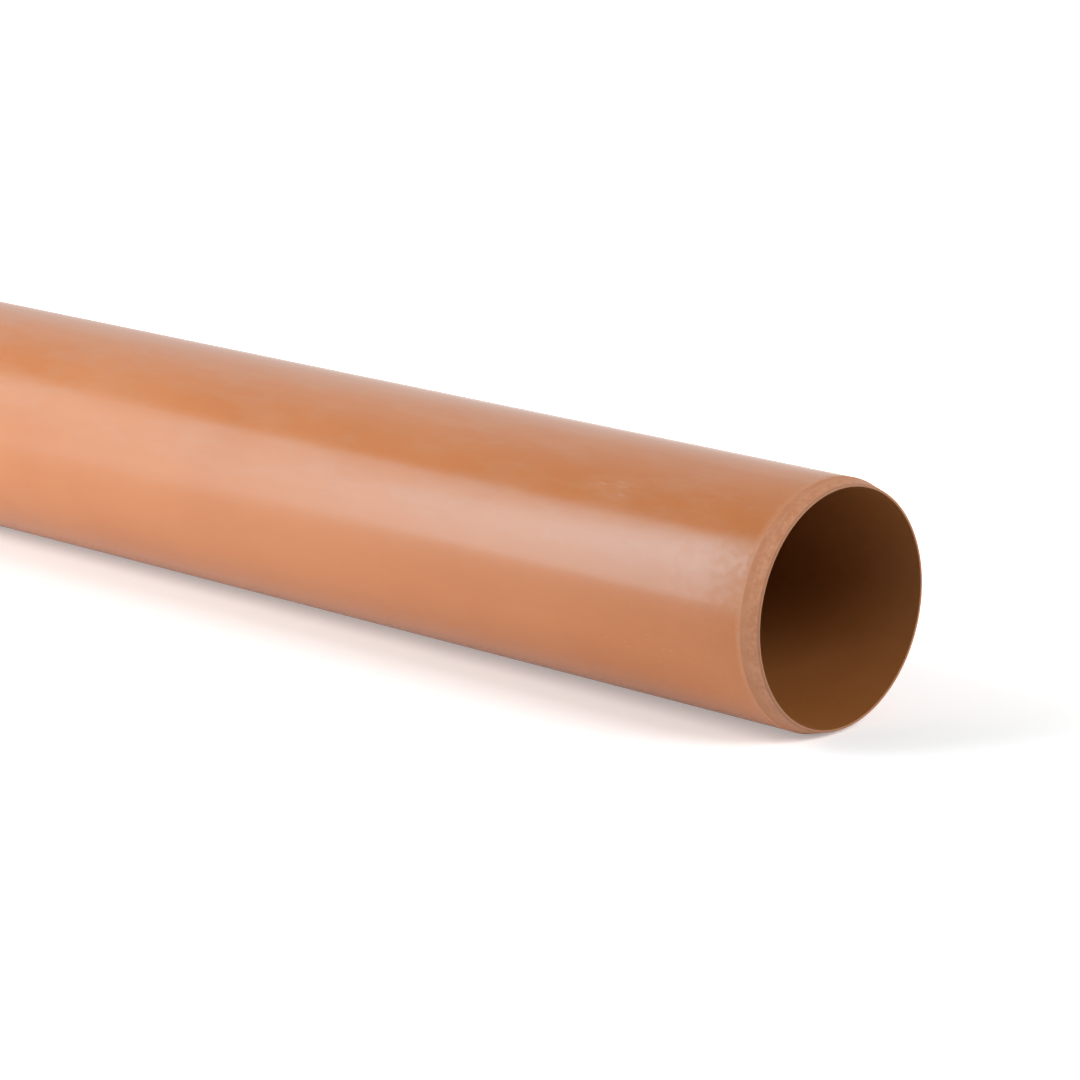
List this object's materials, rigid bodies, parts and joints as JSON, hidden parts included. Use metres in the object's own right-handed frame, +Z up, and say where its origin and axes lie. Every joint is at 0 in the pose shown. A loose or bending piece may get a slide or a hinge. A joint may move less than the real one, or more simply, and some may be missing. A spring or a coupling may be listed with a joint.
{
  "type": "underground drain pipe",
  "caption": "Straight plain-ended plastic drain pipe with a smooth bore and a lead-in chamfer at each end, for push-fit sockets in below-ground drainage.",
  "frame": {"origin": "on the ground, directly below the middle of the pipe as it lies", "axes": "+X along the pipe's axis towards the end that the picture shows, +Z up, +Y across"},
  "size_m": [3, 0.1096, 0.11],
  "materials": {
    "pvc_terracotta": "satin"
  },
  "bodies": {
    "root": {"pipe": "pvc_terracotta"}
  },
  "joints": []
}
